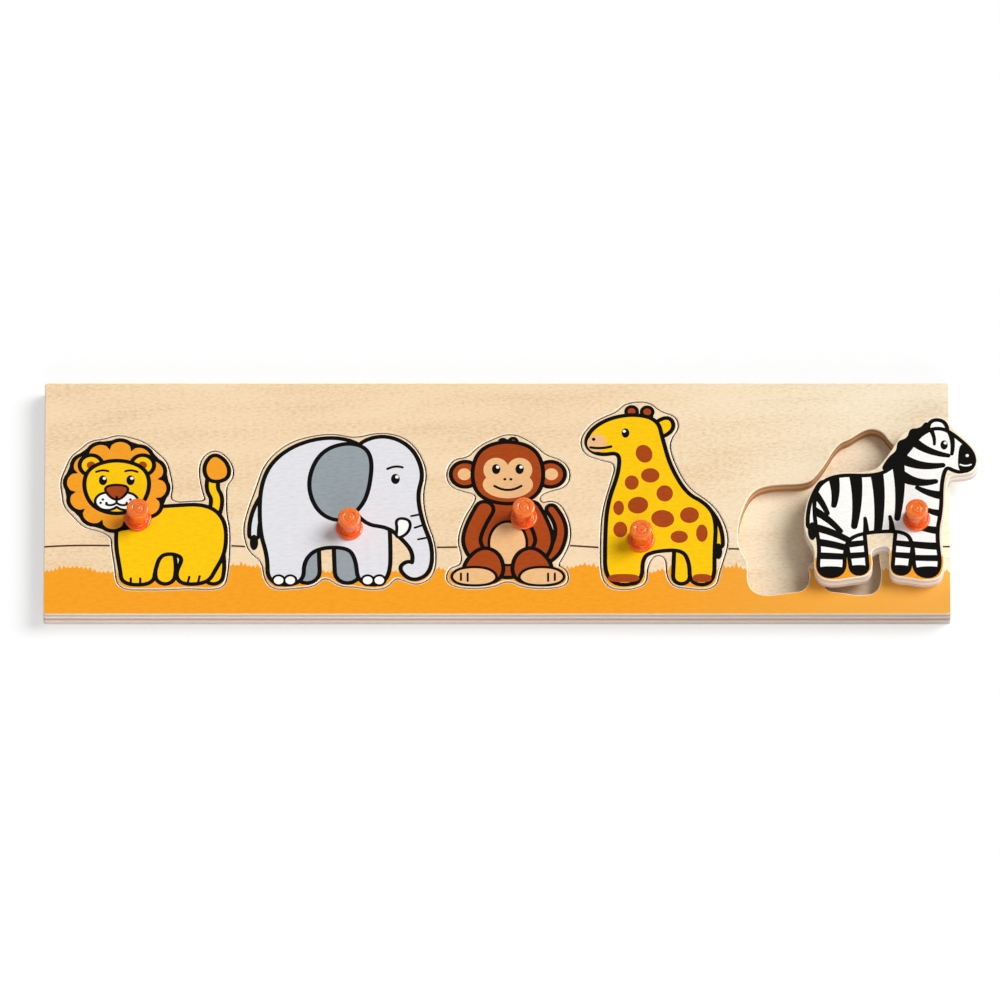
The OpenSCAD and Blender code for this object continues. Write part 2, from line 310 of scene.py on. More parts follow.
def plywood(name, left, right, veneers, glue, right_end_painted_shade=1.0):
    """Sanded plywood, its face painted from the left colour to the right one: painted light,
    lighter towards the right end.

    The veneers are (thickness in mm, colour) from the bottom up. The sawn side is painted
    darker towards the board's right end, down to the factor given last: painted shade.
    """
    material, tree, shader = new_material(name, Roughness=0.62, IOR=1.5,
                                          Specular_IOR_Level=0.35)
    place = add(tree, "TexCoord")
    face, pores = face_veneer(tree, place, left, right)
    side = veneer_stack(tree, place, veneers, glue, right_end_painted_shade)
    facing = add(tree, "SeparateXYZ", {"Vector": place.outputs["Normal"]})
    upright = add(tree, "Math", {FIRST: facing.outputs["Z"]}, operation="ABSOLUTE")
    on_arris = add(tree, "MapRange", {"Value": upright.outputs["Value"], "From Min": 0.15,
                                      "From Max": 0.4})
    on_face = add(tree, "MapRange", {"Value": upright.outputs["Value"], "From Min": 0.93,
                                     "From Max": 0.99})
    edge = add(tree, "Mix", {"Factor": on_arris.outputs["Result"], COLOUR_A: side,
                             COLOUR_B: linear(BARE_ARRIS)}, data_type="RGBA")
    whole = add(tree, "Mix", {"Factor": on_face.outputs["Result"],
                              COLOUR_A: edge.outputs[MIXED], COLOUR_B: face},
                data_type="RGBA")
    tree.links.new(whole.outputs[MIXED], shader.inputs["Base Color"])

    bump = add(tree, "Bump", {"Strength": 0.25, "Distance": 0.05 * MM, "Height": pores})
    tree.links.new(bump.outputs["Normal"], shader.inputs["Normal"])
    return material


# WARM and PALE are the face colours at the left and the right end; the paler right end is
# painted light.
WARM, PALE = "#F8DEB8", "#FEF0D5"
# The frame and the backing get painted shade on their sawn sides towards the right end.
frame_ply = plywood("birch_plywood_frame", WARM, PALE, [
    (1.2, "#EED9CC"), (1.4, "#CDAF9D"), (2.0, "#F8E8E0"), (1.0, "#DABBA6"), (1.4, "#F7E5D0")],
    "#B08A70", right_end_painted_shade=0.72)
# The backing's face, seen on the recess floors, is painted lighter than the board's: painted
# light against the shade of the recess walls.
backing_ply = plywood("birch_plywood_backing_painted_light", "#FEECCD", "#FFF0D6", [
    (0.8, "#EDE0DA"), (1.2, "#EEDDD3"), (1.0, "#FDEBDE")], "#C8A894", right_end_painted_shade=0.76)
animal_ply = plywood("birch_plywood_animal", WARM, PALE, [
    (0.8, "#F6EDE6"), (1.5, "#E6D4C9"), (2.4, "#F8EFE9"), (1.5, "#EAD9CF"), (0.8, "#FBF3EB")],
    "#CDB4A3")
# The recess walls are painted darker and browner than the other plywood: painted shade for the
# shaded insides of the recesses.
shaded_wall_ply = plywood("birch_plywood_recess_wall_painted_shade", WARM, PALE, [
    (0.8, "#D0A074"), (2.0, "#B27F53"), (1.9, "#D6A87A"), (1.0, "#B78558"), (1.3, "#DDB185")],
    "#93653F")
finishes = (frame_ply, backing_ply, animal_ply, shaded_wall_ply)
print("plywood finishes:", ", ".join(ply.name for ply in finishes))

# %% [markdown]
# ## Sawn and sanded edges
#
# The CAD solids have knife-sharp edges. On the real toy every arris that a hand can
# reach was sanded round, and the thin bright line that this leaves around each piece
# and each recess is plain in the photograph. A Bevel modifier could round them, but it
# trips over the many flat triangles of the CAD faces. It is just as easy to read the
# outline from the CAD solid and to build the piece again as a stack of rings. The walls
# of the recesses get a darker, browner plywood: painted shade for their shaded insides.

# %% Read the outlines from the CAD solids
LEVEL_FACE = 0.99
SAME_HEIGHT = 1e-6
SAME_POINT_DIGITS = 7


def area(loop):
    """Signed area of a loop, positive when it runs anticlockwise."""
    return sum(a[0] * b[1] - b[0] * a[1] for a, b in zip(loop, loop[1:] + loop[:1])) / 2


def rims(node, z):
    """The closed loops round a CAD solid's flat face at height z, wood on their left."""
    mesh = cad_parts[node].data
    edges = set()
    for face in mesh.polygons:
        corners = [mesh.vertices[i].co for i in face.vertices]
        if face.normal.z > LEVEL_FACE and all(abs(c.z - z) < SAME_HEIGHT for c in corners):
            keys = [tuple(round(number, SAME_POINT_DIGITS) for number in c.xy)
                    for c in corners]
            edges.update(zip(keys, keys[1:] + keys[:1]))
    after = {a: b for a, b in edges if (b, a) not in edges}
    loops = []
    while after:
        start, step = after.popitem()
        loop = [start]
        while step != start:
            loop.append(step)
            step = after.pop(step)
        loops.append(loop)
    return sorted(loops, key=area, reverse=True)


def moved_in(loop, gap):
    """The loop moved to its left by the same gap all round."""
    result = []
    for a, b, c in zip(loop[-1:] + loop[:-1], loop, loop[1:] + loop[:1]):
        one, two = (Vector(q) - Vector(p) for p, q in ((a, b), (b, c)))
        left, right = (Vector((-s.y, s.x)).normalized() for s in (one, two))
        result.append(tuple(Vector(b) + gap * (left + right) / (1 + left.dot(right))))
    return result


seats = {name: rims(name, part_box(name)[1].z)[0]
         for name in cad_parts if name.endswith("_piece")}
board_rims = rims("frame_board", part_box("frame_board")[1].z)
print("corner points of the outlines:", {name: len(loop) for name, loop in seats.items()})
print("recesses in the board:", len(board_rims) - 1)

# %% Build sheets with rounded arrises
ARRIS = 0.45 * MM
ARRIS_STEPS = 4


def profile(z0, z1, low, high):
    """A sheet's edge from bottom to top, as steps of (how far in, height).

    low and high say whether its lower and its upper arris are rounded.
    """
    turns = [pi / 2 * k / ARRIS_STEPS for k in range(ARRIS_STEPS + 1)]
    bottom = [(ARRIS * (1 - sin(t)), z0 + ARRIS * (1 - cos(t))) for t in turns]
    top = [(ARRIS * (1 - cos(t)), z1 - ARRIS * (1 - sin(t))) for t in turns]
    return (bottom if low else [(0, z0)]) + (top if high else [(0, z1)])


def sawn(name, body, node, loops, z0, z1, low, high, finish, slot, wall=None):
    """A flat sheet between two heights, its lower and upper arris rounded or left sharp.

    The first loop is its outline and the rest are its recesses, whose upright walls may
    have a finish of their own.
    """
    rings = profile(z0, z1, low, high)
    points, faces, walls = [], [], set()
    ends = [[], []]
    for number, loop in enumerate(loops):
        count, first = len(loop), len(points)
        for inset, z in rings:
            points += [(x, y, z) for x, y in (moved_in(loop, inset) if inset else loop)]
        for ring in range(len(rings) - 1):
            row = first + ring * count
            if number and rings[ring][0] == rings[ring + 1][0]:
                walls.update(range(len(faces), len(faces) + count))
            for i in range(count):
                j = (i + 1) % count
                faces.append((row + i, row + j, row + count + j, row + count + i))
        ends[0].append(range(first, first + count))
        ends[1].append(range(len(points) - count, len(points)))
    rounded = len(faces)
    for side, rows in enumerate(ends):
        numbers = [i for row in rows for i in row]
        for corner in tessellate_polygon([[Vector(points[i]) for i in row] for row in rows]):
            a, b, c = (numbers[i] for i in corner)
            up = area([points[a][:2], points[b][:2], points[c][:2]]) > 0
            faces.append((a, b, c) if up == bool(side) else (c, b, a))

    mesh = bpy.data.meshes.new(name)
    mesh.from_pydata(points, [], faces)
    mesh.polygons.foreach_set("use_smooth", [i < rounded for i in range(len(faces))])
    sharp = ([] if low else [z0]) + ([] if high else [z1])
    for edge in mesh.edges:
        edge.use_edge_sharp = all(points[i][2] in sharp for i in edge.vertices)
    mesh.materials.append(finish)
    if wall:
        mesh.materials.append(wall)
        mesh.polygons.foreach_set("material_index", [int(i in walls) for i in range(len(faces))])
    piece = bpy.data.objects.new(name, mesh)
    scene.collection.objects.link(piece)
    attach(piece, body)
    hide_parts(node)
    print(f"{name}: {len(faces)} faces")


def heights(node):
    low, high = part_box(node)
    return low.z, high.z


sawn("backing_sheet", "board", "backing_board", board_rims[:1], *heights("backing_board"),
     True, False, backing_ply, "backing_ply")
# Its recess walls get the darker wall plywood, which is painted shade.
sawn("recessed_sheet", "board", "frame_board", board_rims, *heights("frame_board"),
     False, True, frame_ply, "board_ply", shaded_wall_ply)
for node, outline in seats.items():
    animal = node.split("_")[0]
    sawn(animal + "_wood", animal, node, [outline], *heights(node), True, True, animal_ply,
         "piece_ply")

# %% [markdown]
# ## The pegs
#
# The pegs are injection moulded in a glossy, slightly translucent orange plastic. Light
# goes a little way in, so their shaded side glows instead of going dark. The lower part
# of each peg, which the light has further to go to, is painted redder than its top:
# painted shade. A half section spun round its axis gives the whole shape: a round-edged
# foot, a straight neck, and a thick, nearly flat head with a groove round it and a dot
# in the middle. The mould was polished, so the roughness is low and the gloss a little above
# usual.

# %% Spin a peg
# Radii, heights and roundings are in mm, and ROUND_TURN is in degrees.
PEG_HEIGHT = 11.2
SHANK, SHANK_LENGTH, SHANK_BEVEL = 2.0, 4.2, 0.5
FOOT, FOOT_ROUND = 6.0, 0.8
NECK, HOLLOW = 4.1, 0.4
HEAD, RIM, LIP, ROUND, ROUND_TURN, DOME = 5.0, 2.4, 0.3, 0.9, 80, 0.2
GROOVE, GROOVE_WIDTH, GROOVE_DEPTH = 2.3, 1.0, 0.35
DOT, RAISED = 1.2, 0.25
DOME_RADIUS = HEAD - ROUND * (1 - cos(radians(ROUND_TURN)))
CROWN_STEPS = 44


def arc(x, z, radius, start, end, steps=10):
    """Points of an arc in the peg's half section, in mm and degrees."""
    turns = [radians(start + (end - start) * k / steps) for k in range(steps + 1)]
    return [(x + radius * cos(t), z + radius * sin(t)) for t in turns]


def crown(r):
    """Height of the head's top at a distance from its axis, in mm."""
    groove = max(0, 1 - (2 * (r - GROOVE) / GROOVE_WIDTH) ** 2)
    dot = max(0, 1 - (2 * r / DOT) ** 2)
    return (PEG_HEIGHT - RAISED - DOME * (r / DOME_RADIUS) ** 2
            - GROOVE_DEPTH * groove + RAISED * dot)


top_z = crown(DOME_RADIUS)
under_z = top_z - RIM
inward = [DOME_RADIUS * k / CROWN_STEPS for k in range(CROWN_STEPS - 1, -1, -1)]
section = ([(0, -SHANK_LENGTH), (SHANK - SHANK_BEVEL, -SHANK_LENGTH),
            (SHANK, SHANK_BEVEL - SHANK_LENGTH), (SHANK, 0)]
           + arc(FOOT - FOOT_ROUND, FOOT_ROUND, FOOT_ROUND, -90, 90)
           + arc(NECK + HOLLOW, 2 * FOOT_ROUND + HOLLOW, HOLLOW, 270, 180)
           + arc(NECK + HOLLOW, under_z - HOLLOW, HOLLOW, 180, 90)
           + arc(HEAD - LIP, under_z + LIP, LIP, -90, 0)
           + arc(HEAD - ROUND, top_z - ROUND * sin(radians(ROUND_TURN)), ROUND, 0, ROUND_TURN)
           + [(r, crown(r)) for r in inward])
SIDES = 72
spokes = [(cos(2 * pi * s / SIDES), sin(2 * pi * s / SIDES)) for s in range(SIDES)]
points = [(r * x * MM, r * y * MM, z * MM) for r, z in section for x, y in spokes]
faces = [(row + s, row + (s + 1) % SIDES, row + SIDES + (s + 1) % SIDES, row + SIDES + s)
         for row in range(0, (len(section) - 1) * SIDES, SIDES) for s in range(SIDES)]
spun = bpy.data.meshes.new("spun_peg")
spun.from_pydata(points, [], faces)
spun.polygons.foreach_set("use_smooth", [True] * len(faces))
print(f"the half section has {len(section)} points, and a peg {len(faces)} faces")

# %% Peg plastic
# Between these two heights the base colour is painted redder downwards: painted shade on the
# lower part of the peg.
PAINTED_SHADE_TOP, PAINTED_SHADE_FULL = 9.9 * MM, 8.6 * MM

peg_plastic, tree, shader = new_material(
    "glossy_moulded_plastic", Roughness=0.1, IOR=1.5, Specular_IOR_Level=0.8,
    Subsurface_Weight=1.0, Subsurface_Radius=(1.0, 0.2, 0.06), Subsurface_Scale=1.6 * MM)
place = add(tree, "TexCoord")
melt = add(tree, "Mapping", {"Vector": place.outputs["Object"],
                             "Scale": (4 * MM, 4 * MM, 9 * MM)}, vector_type="TEXTURE")
flow = add(tree, "TexNoise", {"Vector": melt.outputs["Vector"], "Scale": 1.0, "Detail": 2.0})
light = add(tree, "ValToRGB", {"Fac": flow.outputs["Fac"]},
            stops=[(0.3, "#F67E2E"), (0.7, "#F88836")])
# Painted shade: the lower part of the peg is painted redder.
spot = add(tree, "SeparateXYZ", {"Vector": place.outputs["Object"]})
painted_shade_depth = add(tree, "MapRange", {"Value": spot.outputs["Z"], "From Min": PAINTED_SHADE_TOP,
                               "From Max": PAINTED_SHADE_FULL})
colour = add(tree, "Mix", {"Factor": painted_shade_depth.outputs["Result"], COLOUR_A: light.outputs["Color"],
                           COLOUR_B: linear("#FF681C")}, data_type="RGBA")
tree.links.new(colour.outputs[MIXED], shader.inputs["Base Color"])
skin = add(tree, "TexNoise", {"Vector": melt.outputs["Vector"], "Scale": 9.0, "Detail": 1.0})
bump = add(tree, "Bump", {"Strength": 0.12, "Distance": 0.05 * MM,
                          "Height": skin.outputs["Fac"]})
tree.links.new(bump.outputs["Normal"], shader.inputs["Normal"])
spun.materials.append(peg_plastic)
print(f"the plastic turns redder between {PAINTED_SHADE_TOP / MM:.1f} and {PAINTED_SHADE_FULL / MM:.1f} mm up")

# %% Put a peg on each animal
foot = {}
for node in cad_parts:
    if node.endswith("_peg"):
        animal = node.split("_")[0]
        low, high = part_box(node)
        foot[animal] = ((low.x + high.x) / 2, (low.y + high.y) / 2, high.z - PEG_HEIGHT * MM)
        peg = bpy.data.objects.new(node + "_moulded", spun)
        peg.location = foot[animal]
        scene.collection.objects.link(peg)
        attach(peg, animal)
        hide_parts(node)
        print(node, "stands at", [round(c / MM, 1) for c in foot[animal]], "mm")

# %% [markdown]
# ## Printed inks
#
# The pictures are screen printed: each ink is a thin opaque film, matt and not quite
# even, and the grain of the face veneer still shows faintly through it. Every ink has
# the same recipe with its own colour. The ground on the board turns paler towards its
# right end.

# %% Screen inks
def screen_ink(name, colour, shade, gloss=0.2, right_end_colour=None):
    """One printed ink, with the veneer's grain showing through a little.

    A right-end colour, if there is one, takes over towards the board's right end.
    """
    material, tree, shader = new_material("screen_ink_" + name, Roughness=0.6, IOR=1.5,
                                          Specular_IOR_Level=gloss)
    place = add(tree, "TexCoord")
    laid = add(tree, "Mapping", {"Vector": place.outputs["Object"],
                                 "Rotation": (0, 0, GRAIN_RISE),
                                 "Scale": (3.4 * MM, 1.1 * MM, 1 * MM)}, vector_type="TEXTURE")
    veneer = add(tree, "TexNoise", {"Vector": laid.outputs["Vector"], "Scale": 1.0,
                                    "Detail": 3.0, "Roughness": 0.6})
    tint = add(tree, "ValToRGB", {"Fac": veneer.outputs["Fac"]},
               stops=[(0.3, shade), (0.6, colour)])
    shown = tint.outputs["Color"]
    # Towards the board's right end the ink turns to a paler colour.
    if right_end_colour:
        spot = add(tree, "SeparateXYZ", {"Vector": place.outputs["Object"]})
        drift = add(tree, "MapRange", {"Value": spot.outputs["X"], "From Min": 60 * MM,
                                       "From Max": 190 * MM})
        mixed = add(tree, "Mix", {"Factor": drift.outputs["Result"], COLOUR_A: shown,
                                  COLOUR_B: linear(right_end_colour)}, data_type="RGBA")
        shown = mixed.outputs[MIXED]
    tree.links.new(shown, shader.inputs["Base Color"])
    bump = add(tree, "Bump", {"Strength": 0.2, "Distance": 0.03 * MM,
                              "Height": veneer.outputs["Fac"]})
    tree.links.new(bump.outputs["Normal"], shader.inputs["Normal"])
    return material


INKS = {
    "yellow": screen_ink("yellow", "#FFCC00", "#FAC000", gloss=0.12),
    "orange": screen_ink("orange", "#F8A220", "#F1971C", gloss=0.15),
    "ground": screen_ink("ground", "#FAA41A", "#F59A14"),
    "board_ground": screen_ink("board_ground", "#FAA41A", "#F59A14", right_end_colour="#F2AC46"),
    "black": screen_ink("black", "#080605", "#100D0B", gloss=0.08),
    "white": screen_ink("white", "#FFFEFB", "#F8F6F0"),
    "brown": screen_ink("brown", "#AD4712", "#A03F0E", gloss=0.12),
    "peach": screen_ink("peach", "#F3C18A", "#EDB67C", gloss=0.15),
    "pale_grey": screen_ink("pale_grey", "#E7E6EA", "#DEDDE1"),
    "mid_grey": screen_ink("mid_grey", "#9AA4A8", "#909A9F"),
    "line": screen_ink("line", "#57351C", "#4C2C15", gloss=0.12),
}
print("inks:", ", ".join(INKS))

# %% [markdown]
# ## A small drawing kit
#
# Each picture is drawn from a few soft shapes: blobs that flow past their guide points,
# limbs that follow a path, and ovals. The grid is the animal's own, in hundredths of
# its height. A shape with an outline is drawn twice, first grown and black, then in its
# own ink on top, as a printer lays one screen over another.

# %% Shapes
CURVE_STEPS = 8
OVAL_STEPS = 36
SCALLOP_STEPS = 9
NEAR_ENOUGH = 0.97


def bend(start, pull, end, t):
    """A point on the curve that leaves start and reaches end, drawn towards pull."""
    return tuple((1 - t) ** 2 * start[q] + 2 * t * (1 - t) * pull[q] + t * t * end[q]
                 for q in (0, 1))


def middle(a, b):
    return ((a[0] + b[0]) / 2, (a[1] + b[1]) / 2)


def blob(guides):
    """A smooth closed curve that touches the middle of each side of its guide loop."""
    return [bend(middle(a, b), b, middle(b, c), k / CURVE_STEPS)
            for a, b, c in zip(guides[-1:] + guides[:-1], guides, guides[1:] + guides[:1])
            for k in range(CURVE_STEPS)]


def flowing(guides):
    """A smooth open curve from the first guide point to the last."""
    if len(guides) == 2:
        return list(guides)
    line = [guides[0]]
    last = len(guides) - 2
    for i in range(1, last + 1):
        a, b, c = guides[i - 1:i + 2]
        start = a if i == 1 else middle(a, b)
        end = c if i == last else middle(b, c)
        line += [bend(start, b, end, k / CURVE_STEPS) for k in range(1, CURVE_STEPS + 1)]
    return line


def limb(guides, width, end_width=None):
    """A round-ended stroke that may widen or taper along its path."""
    end_width = width if end_width is None else end_width
    line = flowing(guides)
    gone = [0]
    for a, b in zip(line, line[1:]):
        gone.append(gone[-1] + hypot(b[0] - a[0], b[1] - a[1]))
    left, right, turns = [], [], []
    for i, (x, y) in enumerate(line):
        a, b = line[max(i - 1, 0)], line[min(i + 1, len(line) - 1)]
        turn = atan2(b[1] - a[1], b[0] - a[0])
        half = (width + (end_width - width) * gone[i] / gone[-1]) / 2
        left.append((x - half * sin(turn), y + half * cos(turn)))
        right.append((x + half * sin(turn), y - half * cos(turn)))
        turns.append(turn)

    def cap(point, turn, half):
        turns = [turn + pi * k / CURVE_STEPS for k in range(1, CURVE_STEPS)]
        return [(point[0] + half * cos(t), point[1] + half * sin(t)) for t in turns]

    return (right + cap(line[-1], turns[-1] - pi / 2, end_width / 2)
            + left[::-1] + cap(line[0], turns[0] + pi / 2, width / 2))


def oval(x, y, half_width, half_height, tilt=0):
    """An ellipse, tilted by some degrees."""
    c, s = cos(radians(tilt)), sin(radians(tilt))
    turns = [2 * pi * k / OVAL_STEPS for k in range(OVAL_STEPS)]
    return [(x + half_width * cos(t) * c - half_height * sin(t) * s,
             y + half_width * cos(t) * s + half_height * sin(t) * c) for t in turns]


def dot(x, y, radius):
    return oval(x, y, radius, radius)


def scallop(x, y, inner, outer, count, turn):
    """A round with a scalloped edge, for a mane."""
    loop = []
    steps = count * SCALLOP_STEPS
    for k in range(steps):
        t = 2 * pi * k / steps
        r = inner + (outer - inner) * sqrt(abs(sin(count * t / 2)))
        loop.append((x + r * cos(t + radians(turn)), y + r * sin(t + radians(turn))))
    return loop


def off_line(p, a, b):
    """Distance from a point to the straight piece from a to b."""
    vx, vy = b[0] - a[0], b[1] - a[1]
    wx, wy = p[0] - a[0], p[1] - a[1]
    t = max(0, min(1, (wx * vx + wy * vy) / ((vx * vx + vy * vy) or 1)))
    return hypot(wx - t * vx, wy - t * vy)


def grown(loop, width):
    """The loop made bigger by a width all round, without the points that cross over."""
    if area(loop) < 0:
        loop = loop[::-1]
    sides = list(zip(loop, loop[1:] + loop[:1]))
    result = []
    for a, b, c in zip(loop[-1:] + loop[:-1], loop, loop[1:] + loop[:1]):
        dx, dy = c[0] - a[0], c[1] - a[1]
        length = hypot(dx, dy) or 1
        q = (b[0] + dy / length * width, b[1] - dx / length * width)
        if min(off_line(q, *side) for side in sides) >= NEAR_ENOUGH * width:
            result.append(q)
    return result


square = [(0, 0), (1, 0), (1, 1), (0, 1)]
print("a blob round a square of guide points has", len(blob(square)), "corners")

# %% [markdown]
# ## From a drawing to a print
#
# The shapes overlap, but a print is one flat film in which each spot has one ink. A
# constrained triangulation cuts the sheet along every outline at once and says which
# shapes each triangle lies in, so the last shape drawn there gives its ink. The film
# lies a few hundredths of a millimetre above the wood. On the animals and round the
# recesses it stops at the sanded arris, and at the board's outer edge it runs on a little.

# %% Lay the inks
FILM = 0.03 * MM
INSIDE_ONLY = 1
SAME_SPOT = 1e-5


def lay_inks(name, body, z, sheet_loops, layers, shift=(0, 0)):
    """A printed film. The loops are in mm: the first bounds the sheet, the rest are holes."""
    points, shapes, roles = [], [], []

    def put(loop, role):
        loop = loop if area(loop) > 0 else loop[::-1]
        shapes.append(list(range(len(points), len(points) + len(loop))))
        points.extend(Vector(p) for p in loop)
        roles.append(role)

    put(sheet_loops[0], "sheet")
    for loop in sheet_loops[1:]:
        put(loop, "hole")
    for number, (ink, loops, window) in enumerate(layers):
        for loop in loops:
            put(loop, number)
        for loop in window:
            put(loop, ("window", number))
    corners, _, triangles, _, _, origins = delaunay_2d_cdt(
        points, [], shapes, INSIDE_ONLY, SAME_SPOT, True)
    faces, used = [], []
    names = sorted({ink for ink, loops, window in layers})
    for triangle, origin in zip(triangles, origins):
        here = {roles[i] for i in origin}
        if "sheet" not in here or "hole" in here:
            continue
        inks = [n for n, (ink, loops, window) in enumerate(layers)
                if n in here and (not window or ("window", n) in here)]
        if inks:
            faces.append(triangle)
            used.append(names.index(layers[inks[-1]][0]))
    kept = sorted({i for face in faces for i in face})
    renumbered = {old: new for new, old in enumerate(kept)}
    mesh = bpy.data.meshes.new(name)
    mesh.from_pydata([((corners[i].x + shift[0]) * MM, (corners[i].y + shift[1]) * MM, z + FILM)
                      for i in kept],
                     [], [[renumbered[i] for i in face] for face in faces])
    mesh.polygons.foreach_set("material_index", used)
    for ink in names:
        mesh.materials.append(INKS[ink])
    film = bpy.data.objects.new(name, mesh)
    scene.collection.objects.link(film)
    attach(film, body)
    print(f"{name}: {len(layers)} layers, {len(faces)} triangles, {len(names)} inks")


def in_mm(loop):
    return [(x / MM, y / MM) for x, y in loop]


# %% [markdown]
# ## The savanna
#
# A warm orange ground with a ragged grassy edge runs along the board, and it goes on
# over the animals that stand in it. A thin brown line marks the horizon on the board
# alone. Both are functions of the place along the board, so that the ground on each
# animal meets the ground on the board around it.

# %% Ground and horizon
BLADE_WIDTH, SPARE_BLADES = 0.95, 3
GRASS_LINE, GRASS_SWELLS = -36.9, [(0.7, 21, 0.6), (0.5, 7.3, 2)]
CLUMPS = [(-187, 8, 2.6), (-115, 9, 3.4), (-99, 5, 1.6), (-60, 7, 2.0), (-27, 6, 2.6),
          (22, 7, 2.2), (39, 6, 2.8), (78, 8, 2.2), (104, 7, 3.6), (150, 8, 2.0), (191, 7, 2.6)]
GROUND_FOOT = -70
HORIZON, HORIZON_SWELLS = -24.6, [(1.0, 26, 1.2), (0.5, 11, 0)]
HORIZON_WIDTH, HORIZON_STEP = 0.85, 6
OVERRUN = 8
BLEED = 0.15 * MM


def swell(x, waves):
    """The height of some long waves at x. Each one has a height, a length and a start."""
    return sum(height * sin(x / length + start) for height, length, start in waves)


def blade(k):
    """The k-th corner of the ground's grassy edge, in mm: a tip if k is odd, or a root.

    Sines of uneven multiples of k make the row ragged, and the clumps stand taller.
    """
    x = (k + 0.36 * sin(k * 12.7)) * BLADE_WIDTH
    clump = sum(rise * exp(-((x - centre) / half) ** 2) for centre, half, rise in CLUMPS)
    root = GRASS_LINE + swell(x, GRASS_SWELLS) + 0.8 * clump
    if k % 2:
        tall = abs(sin(k * 2.7)) * abs(cos(k * 0.31 + sin(k * 0.11)))
        return (x, root + 0.5 + (1.1 + 0.5 * clump) * tall)
    return (x, root - 0.3 * abs(sin(k * 1.9)))


def ground(left, right):
    """The ground's outline between two places along the board, in mm."""
    first = int(left / BLADE_WIDTH) - SPARE_BLADES
    last = int(right / BLADE_WIDTH) + SPARE_BLADES
    edge = [blade(k) for k in range(last, first - 1, -1)]
    return [(edge[-1][0], GROUND_FOOT), (edge[0][0], GROUND_FOOT)] + edge


half_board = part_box("frame_board")[1].x / MM
reach = int(half_board) + OVERRUN
skyline = limb([(x, HORIZON + swell(x, HORIZON_SWELLS))
                for x in range(-reach, reach, HORIZON_STEP)], HORIZON_WIDTH)
open_board = [in_mm(moved_in(loop, ARRIS if number else BLEED))
              for number, loop in enumerate(board_rims)]
board_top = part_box("frame_board")[1].z
lay_inks("board_print", "board", board_top, open_board, [
    ("line", [skyline], []),
    ("board_ground", [ground(-half_board, half_board)], [])])

# %% [markdown]
# ## Five animals
#
# The pictures are of our own drawing: friendly animals with thick black outlines and
# flat inks. Each list below is one picture, from the bottom layer to the top one. A
# layer is its ink, the width of its black outline, its shapes, and sometimes a window
# that it shows through, such as the zebra's body for its stripes. `show` sets a picture
# on its animal by the place of the peg, which the grid and the CAD model share.

# %% Set a picture on its animal
DRAWN_OUT = {"zebra": (28.5, 3.0)}


def show(animal, height, peg_place, picture):
    """Prints a picture, drawn in hundredths of the animal's height in mm."""
    shift = DRAWN_OUT.get(animal, (0, 0))
    unit = height / 100
    left = foot[animal][0] / MM - shift[0] - peg_place[0] * unit
    low = foot[animal][1] / MM - shift[1] - peg_place[1] * unit

    def on_board(loops):
        return [[(left + x * unit, low + y * unit) for x, y in loop] for loop in loops]

    outline = in_mm(moved_in(seats[animal + "_piece"], ARRIS))
    outline = [(x - shift[0], y - shift[1]) for x, y in outline]
    ends = [x for x, y in outline]
    layers = [("ground", [ground(min(ends), max(ends))], [])]
    for ink, line, shapes, *window in picture:
        if line:
            layers.append(("black", on_board([grown(shape, line) for shape in shapes]), []))
        layers.append((ink, on_board(shapes), on_board(window[0]) if window else []))
    lay_inks(animal + "_print", animal, foot[animal][2], [outline], layers, shift)


